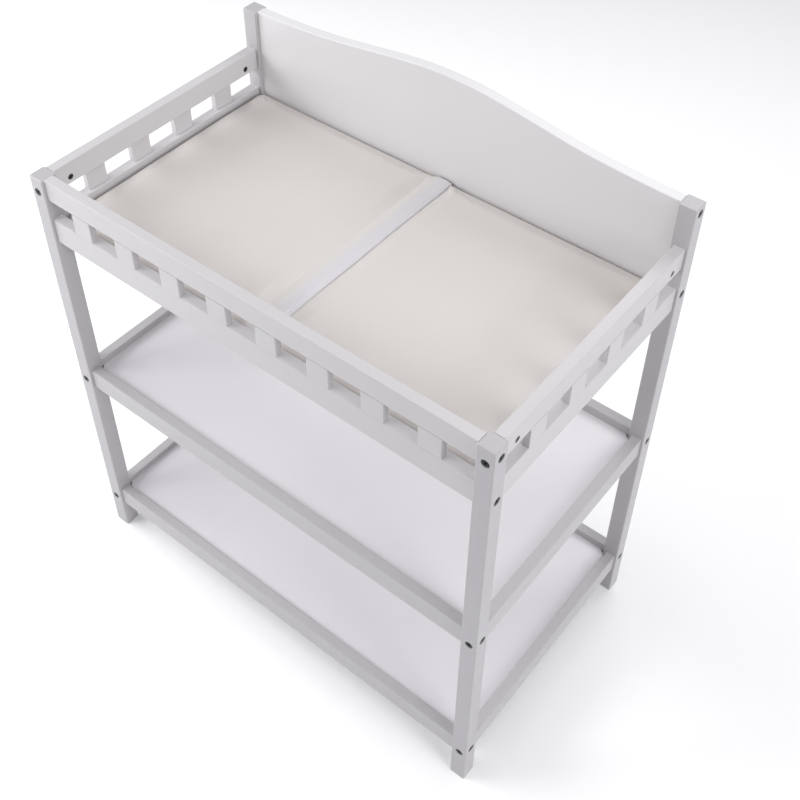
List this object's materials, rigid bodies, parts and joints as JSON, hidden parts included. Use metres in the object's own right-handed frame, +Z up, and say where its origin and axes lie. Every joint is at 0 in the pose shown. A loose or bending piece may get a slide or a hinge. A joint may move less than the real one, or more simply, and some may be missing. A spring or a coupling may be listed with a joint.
{
  "type": "changing table",
  "caption": "Open changing table with a railed top tray, a camel-back rear panel, a fold-in-half pad and two recessed shelves between square posts.",
  "frame": {"origin": "on the floor, at the centre of the footprint over the four posts", "axes": "+X to the user's right when facing the low front rail, +Y towards the back panel, +Z up"},
  "size_m": [0.864, 0.502, 0.977],
  "materials": {
    "painted_wood": "satin",
    "painted_board": "satin",
    "bare_wood": "unpainted hardwood",
    "bolt_steel": "dark plated",
    "nut_steel": "dark plated",
    "pad_cover": "satin",
    "strip_cover": "satin"
  },
  "bodies": {
    "table": {"post_front_left": "painted_wood", "post_front_right": "painted_wood", "post_rear_left": "painted_wood", "post_rear_right": "painted_wood", "front_upper_bar": "painted_wood", "front_lower_bar": "painted_wood", "front_spacer_blocks": "painted_wood", "left_upper_bar": "painted_wood", "left_lower_bar": "painted_wood", "left_spacer_blocks": "painted_wood", "right_upper_bar": "painted_wood", "right_lower_bar": "painted_wood", "right_spacer_blocks": "painted_wood", "back_panel": "painted_board", "tray_deck": "painted_board", "mid_shelf_front_rail": "painted_wood", "mid_shelf_rear_rail": "painted_wood", "mid_shelf_left_rail": "painted_wood", "mid_shelf_right_rail": "painted_wood", "mid_shelf_panel": "painted_board", "bottom_shelf_front_rail": "painted_wood", "bottom_shelf_rear_rail": "painted_wood", "bottom_shelf_left_rail": "painted_wood", "bottom_shelf_right_rail": "painted_wood", "bottom_shelf_panel": "painted_board", "bolts_front_left": "bolt_steel", "bolts_front_right": "bolt_steel", "bolts_rear_left": "bolt_steel", "bolts_rear_right": "bolt_steel", "barrel_nuts_front_left": "nut_steel", "barrel_nuts_front_right": "nut_steel", "barrel_nuts_rear_left": "nut_steel", "barrel_nuts_rear_right": "nut_steel", "lower_bar_dowels": "bare_wood"},
    "pad_left": {"pad_left_half": "pad_cover", "pad_hinge_strip": "strip_cover"},
    "pad_right": {"pad_right_half": "pad_cover"}
  },
  "joints": [
    {"name": "pad_lift", "type": "slide", "parent": "table", "child": "pad_left", "axis": [0, 0, 1], "range_m": [0, 0.3]},
    {"name": "pad_fold", "type": "hinge", "parent": "pad_left", "child": "pad_right", "pos_m": [0, 0, 0.7886], "axis": [0, -1, 0], "range_deg": [0, 180]}
  ]
}
